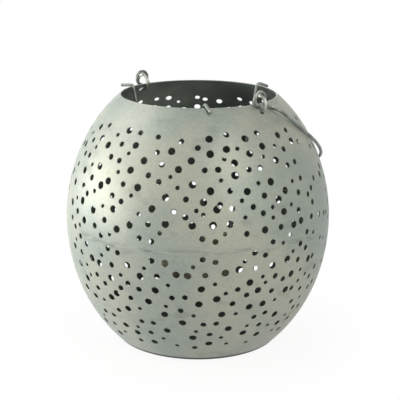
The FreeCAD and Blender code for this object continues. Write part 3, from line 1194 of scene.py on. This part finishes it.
@dataclass
class Bail:
    """Wire handle with an open eye at each end, folded down on the body."""

    finish: bpy.types.Material
    hinge: Vector
    ring_place: float
    eye_inset: float = 0.0005
    hinge_angle: float = 45.0
    rest_tilt: float = 34.86
    wire: float = 0.0012
    eye_radius: float = 0.0052
    eye_tip_angle: float = 300.0
    neck_bend: float = 0.0036
    jog_reach: float = 0.0126
    inner_bend: float = 0.003
    outer_bend: float = 0.0058
    jog_step: float = 0.009
    leg_length: float = 0.0525
    shoulder_radius: float = 0.0655
    shoulder_angle: float = 60.0

    def frame(self) -> Matrix:
        """Fold the bail down from its own frame, across, along and up.

        Returns:
            Its place in the lantern's frame.
        """
        tilt = math.radians(self.rest_tilt)
        fold = around(self.hinge_angle + RIGHT_ANGLE, 1.0, 0.0)
        across = around(self.hinge_angle, 1.0, 0.0)
        along = fold * math.cos(tilt) - UP * math.sin(tilt)
        above = fold * math.sin(tilt) + UP * math.cos(tilt)
        matrix = Matrix((across, along, above)).transposed().to_4x4()
        matrix.translation = self.hinge
        return matrix

    @property
    def neck_along(self) -> float:
        """Distance of the neck's end from the hinge's line."""
        return math.sqrt(self.eye_radius ** 2 + 2.0 * self.eye_radius * self.neck_bend)

    def side(self) -> list:
        """List the bends from the tip of an eye to the crown.

        Returns:
            (degrees, bend radius, axis, straight length after it) of each bend.
        """
        meeting = math.degrees(math.atan2(self.neck_bend, self.neck_along))
        reach = self.jog_reach - self.neck_along - self.inner_bend
        jog = self.jog_step - self.inner_bend - self.outer_bend
        leg = self.leg_length - self.jog_reach - self.outer_bend
        return [(self.eye_tip_angle - meeting, self.eye_radius, -ACROSS, 0.0),
                (RIGHT_ANGLE - meeting, self.neck_bend, ACROSS, reach),
                (RIGHT_ANGLE, self.inner_bend, -UP, jog),
                (RIGHT_ANGLE, self.outer_bend, UP, leg),
                (self.shoulder_angle, self.shoulder_radius, UP, 0.0)]

    def make(self) -> None:
        """Bend the handle from the tip of one eye to the tip of the other."""
        bench = Bench()
        eye_offset = self.ring_place + self.eye_inset
        tip = math.radians(self.eye_tip_angle)
        start = (ACROSS * eye_offset + ALONG * (self.eye_radius * math.cos(tip))
                 + UP * (self.eye_radius * math.sin(tip)))
        heading = ALONG * math.sin(tip) - UP * math.cos(tip)
        wire = WireBender(bench, start, heading, self.wire)
        for degrees, bend_radius, axis, length in self.side():
            wire.bend(degrees, bend_radius, axis)
            if length:
                wire.run(length)
        shoulder = math.radians(self.shoulder_angle)
        rest = eye_offset + self.jog_step - self.shoulder_radius
        crown = self.shoulder_radius + rest / math.cos(shoulder)
        wire.bend(2.0 * (RIGHT_ANGLE - self.shoulder_angle), crown, UP)
        for degrees, bend_radius, axis, length in reversed(self.side()):
            if length:
                wire.run(length)
            wire.bend(degrees, bend_radius, axis if axis.z else -axis)
        wire.cut_off()
        bench.tidy()
        bmesh.ops.transform(bench.bm, matrix=self.frame(), verts=bench.bm.verts[:])
        hang(bench.piece("bail_wire", [self.finish]), "bail", "grey_wire", "bail_handle")


@dataclass
class CandleHanger:
    """Candle cup and the three wires that hang it from the edge of the mouth."""

    wire_finish: bpy.types.Material
    cup_finish: bpy.types.Material
    upper: WallCurve
    # Name, degrees round the mouth, degrees that the tip droops and that it turns to the right
    hooks: tuple = (("front", 4.0, 28.0, 25.0), ("left", -115.0, 6.0, 0.0),
                    ("right", 125.0, 20.0, 0.0))
    wire: float = 0.0012
    tip_reach: float = 0.0074
    hook_bend: float = 0.0026
    foot_bend: float = 0.012
    inset: float = 0.0027
    foot_length: float = 0.012
    foot_rise: float = 0.003
    rest_gap: float = 0.00025
    weld_gap: float = 0.00005
    spot_weld: tuple = (0.7, 1.5, 1.0, 1.0)
    spot_shares: tuple = (0.25, 0.75)
    cup_wall: float = 0.0006
    lip: float = 0.0008
    floor_rounding: float = 0.003
    floor_rings: tuple = (0.0, 0.35, 0.7)
    roll_turn: tuple = (-60.0, 180.0)
    weld_sink: float = 0.4
    steps_round: int = 96
    wall_steps: int = 8
    bend_steps: int = 6
    roll_steps: int = 12

    def __post_init__(self) -> None:
        """Measure the frame."""
        low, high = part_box("candle_cup")
        self.floor, self.top = low.z, high.z
        self.cup_radius = high.x - self.cup_wall

    def make_hook(self, name: str, angle: float, droop: float, turn: float) -> None:
        """Bend one wire, from its foot on the cup to its tip over the edge.

        Args:
            name: which hook it is.
            angle: where it hangs.
            droop: how far its tip points down, in degrees.
            turn: how far its tip points to the right of straight out.
        """
        bench = Bench()
        fall = math.tan(math.radians(droop))
        over = self.upper.waist_height + self.upper.height + self.wire + self.rest_gap
        foot = self.cup_radius + self.wire + self.weld_gap
        low = self.floor + self.foot_rise
        reach = self.inset + self.tip_reach
        rise = fall * self.inset / math.cos(math.radians(turn))
        top = around(angle, self.upper.end_radius - self.inset, over + rise)
        corners = [around(angle, foot, low + self.foot_length), top,
                   top + around(angle + turn, reach, -fall * reach)]
        wire = WireBender(bench, around(angle, foot, low), UP, self.wire)
        wire.follow(corners, [self.foot_bend, self.hook_bend])
        wire.cut_off()
        bench.tidy()
        blob = Matrix.Diagonal(self.spot_weld)
        for share in self.spot_shares:
            place = Matrix.Rotation(math.radians(angle), 4, "Z") @ Matrix.Translation(
                (0.0, -self.cup_radius - self.wire * self.weld_sink,
                 low + self.foot_length * share))
            bmesh.ops.create_icosphere(bench.bm, subdivisions=3, radius=self.wire, matrix=place @ blob)
        hang(bench.piece("hook_wire_" + name, [self.wire_finish]), "hanger", "grey_wire",
             "hanger_hook_" + name)

    def make_cup(self) -> None:
        """Turn the drawn cup with its rolled lip."""
        bench = Bench()
        radius, wall, floor = self.cup_radius, self.cup_wall, self.floor
        corner = (radius - self.floor_rounding, floor + self.floor_rounding)
        bottom = arc_points(corner, self.floor_rounding, -RIGHT_ANGLE, 0.0, self.bend_steps)
        inner_bottom = arc_points(corner, self.floor_rounding - wall, 0.0, -RIGHT_ANGLE,
                                  self.bend_steps)
        roll = arc_points((radius - wall + self.lip, self.top - self.lip), self.lip,
                          *self.roll_turn, self.roll_steps)
        side = self.top - self.lip * 2.0 - corner[1]
        outer = [(radius, corner[1] + side * step / self.wall_steps)
                 for step in range(1, self.wall_steps + 1)]
        inner = [(radius - wall, height) for _, height in outer[::-1]]
        centre = [(radius * share, floor) for share in self.floor_rings]
        inner_centre = [(radius * share, floor + wall) for share in self.floor_rings[::-1]]
        section = centre + bottom + outer + roll + inner + inner_bottom + inner_centre
        bench.turn(section, self.steps_round, closed=False)
        hang(bench.piece("tin_cup", [self.cup_finish]), "hanger", "cup_tin", "candle_cup")

    def make(self) -> None:
        """Make the cup and its three wires."""
        for name, angle, droop, turn in self.hooks:
            self.make_hook(name, angle, droop, turn)
        self.make_cup()


@dataclass(frozen=True)
class Lamp:
    """A soft lamp: degrees round from the front and above level, then size, watts and colour."""

    name: str
    azimuth: float
    climb: float
    size: tuple
    power: float
    colour: tuple
    distance: float = 1.25

    def put_up(self, middle: Vector) -> None:
        """Put the lamp up, facing the lantern.

        Args:
            middle: the lantern's middle.
        """
        data = bpy.data.lights.new(self.name, "AREA")
        data.shape = "RECTANGLE"
        data.size, data.size_y = self.size
        data.energy = self.power
        data.color = self.colour
        lamp = bpy.data.objects.new(self.name, data)
        bpy.context.scene.collection.objects.link(lamp)
        climb = math.radians(self.climb)
        offset = around(self.azimuth, self.distance * math.cos(climb), self.distance * math.sin(climb))
        lamp.location = middle + offset
        lamp.rotation_euler = offset.to_track_quat("Z", "Y").to_euler()


@dataclass
class Studio:
    """White surroundings, a white floor, soft lamps and the camera."""

    middle: Vector
    camera_place: tuple = (0.0, -0.85294, 0.34502)
    camera_down: float = 15.707
    camera_right: float = 0.105
    camera_roll: float = 0.35
    lens: float = 104.26
    surroundings: float = 0.02
    floor_size: float = 8.0
    floor_gap: float = 0.0001
    floor_paint: tuple = paint(0.88, 0.88, 0.88)
    white: tuple = paint(1.0, 1.0, 1.0)
    glow_near: float = 0.92
    glow_radii: tuple = (0.06, 0.16)
    lamps: tuple = (
        Lamp("low_key", -92.0, 3.0, (1.2, 0.5), 20.6, (1.0, 0.955, 0.86)),
        Lamp("high_key", -97.0, 42.0, (0.95, 0.8), 8.0, (1.0, 0.97, 0.90)),
        Lamp("warm_fill", 33.0, 34.0, (0.38, 1.1), 9.4, (1.0, 0.94, 0.79)),
        Lamp("back_wash", 180.0, 35.0, (0.5, 0.8), 5.0, (1.0, 0.98, 0.95)),
    )

    def in_sight(self, board: NodeBoard) -> Signal:
        """Tell what the camera sees from what lights the lantern.

        Args:
            board: the nodes that ask.

        Returns:
            1 for what is seen straight, in a reflection or through glass, and 0 for light.
        """
        paths = ("Is Camera Ray", "Is Glossy Ray", "Is Transmission Ray")
        rays = [board.node("ShaderNodeLightPath", output=path) for path in paths]
        return board.node("ShaderNodeMath", {"operation": "ADD", "use_clamp": True},
                          {0: rays[0] + rays[1], 1: rays[2]})

    def make_world(self) -> None:
        """White to the eye and in reflections, dimmer as a light."""
        world = bpy.data.worlds.new("white_surroundings")
        bpy.context.scene.world = world
        world.use_nodes = True
        board = NodeBoard(world.node_tree)
        light = board.node("ShaderNodeBackground", {}, {"Strength": self.surroundings})
        seen = board.node("ShaderNodeBackground", {}, {"Color": self.white, "Strength": 1.0})
        mixed = board.node("ShaderNodeMixShader", {}, {0: self.in_sight(board), 1: light, 2: seen})
        board.node("ShaderNodeOutputWorld", {}, {"Surface": mixed})

    def make_floor(self) -> None:
        """White floor that keeps a soft shadow."""
        bench = Bench()
        bmesh.ops.create_grid(bench.bm, x_segments=1, y_segments=1, size=self.floor_size / 2.0,
                              matrix=Matrix.Translation(-UP * self.floor_gap))
        material = bpy.data.materials.new("white_floor")
        material.use_nodes = True
        board = NodeBoard(material.node_tree)
        place = board.node("ShaderNodeTexCoord", output="Object")
        distance = board.node("ShaderNodeVectorMath", {"operation": "LENGTH"}, {0: place}, "Value")
        away = distance.ramp(*self.glow_radii) * (1.0 - self.glow_near) + self.glow_near
        plain = board.node("ShaderNodeBsdfDiffuse", {}, {"Color": self.floor_paint})
        glow = board.node("ShaderNodeEmission", {}, {"Color": self.white, "Strength": 1.0})
        seen = self.in_sight(board) * away
        mixed = board.node("ShaderNodeMixShader", {}, {0: seen, 1: plain, 2: glow})
        board.node("ShaderNodeOutputMaterial", {}, {"Surface": mixed})
        bench.piece("floor", [material])

    def make_camera(self) -> None:
        """Stand the camera in front, a little above."""
        camera = bpy.data.objects.new("camera", bpy.data.cameras.new("camera"))
        camera.data.lens = self.lens
        camera.location = self.camera_place
        aim = Euler((math.radians(RIGHT_ANGLE - self.camera_down), 0.0, -math.radians(self.camera_right)))
        roll = Matrix.Rotation(math.radians(self.camera_roll), 3, "Z")
        camera.rotation_euler = (aim.to_matrix() @ roll).to_euler()
        bpy.context.scene.collection.objects.link(camera)
        bpy.context.scene.camera = camera

    def make(self) -> None:
        """Set the studio up."""
        self.make_world()
        self.make_floor()
        for lamp in self.lamps:
            lamp.put_up(self.middle)
        self.make_camera()
        bpy.context.scene.view_settings.view_transform = "Standard"


def main() -> None:
    """Dress the lantern piece by piece and set up its studio."""
    logging.basicConfig(level=logging.INFO, format="%(name)s: %(message)s")
    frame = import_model()
    hinge = next(joint for joint in frame["joints"] if joint["name"] == "bail_hinge")

    grey_wire = DrawnWire().make()
    bright_wire = DrawnWire("bright_wire", bright=paint(0.42, 0.45, 0.42),
                            dull=paint(0.27, 0.29, 0.28)).make()
    waist_height = sum(corner.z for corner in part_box("seam_weld")) / 2.0
    zinc = SpunZinc(waist_height=waist_height).make()
    body = PunchedBody(zinc, InnerZinc().make(), WeldMetal().make())
    rings = HandleRings(bright_wire, body.upper)
    body.make(rings.holes())
    rings.make()
    Bail(grey_wire, Vector(hinge["pos_m"]), rings.centre_radius).make()
    CandleHanger(grey_wire, CupTin().make(), body.upper).make()
    Studio(Vector((0.0, 0.0, body.waist_height))).make()


if __name__ == "__main__":
    main()
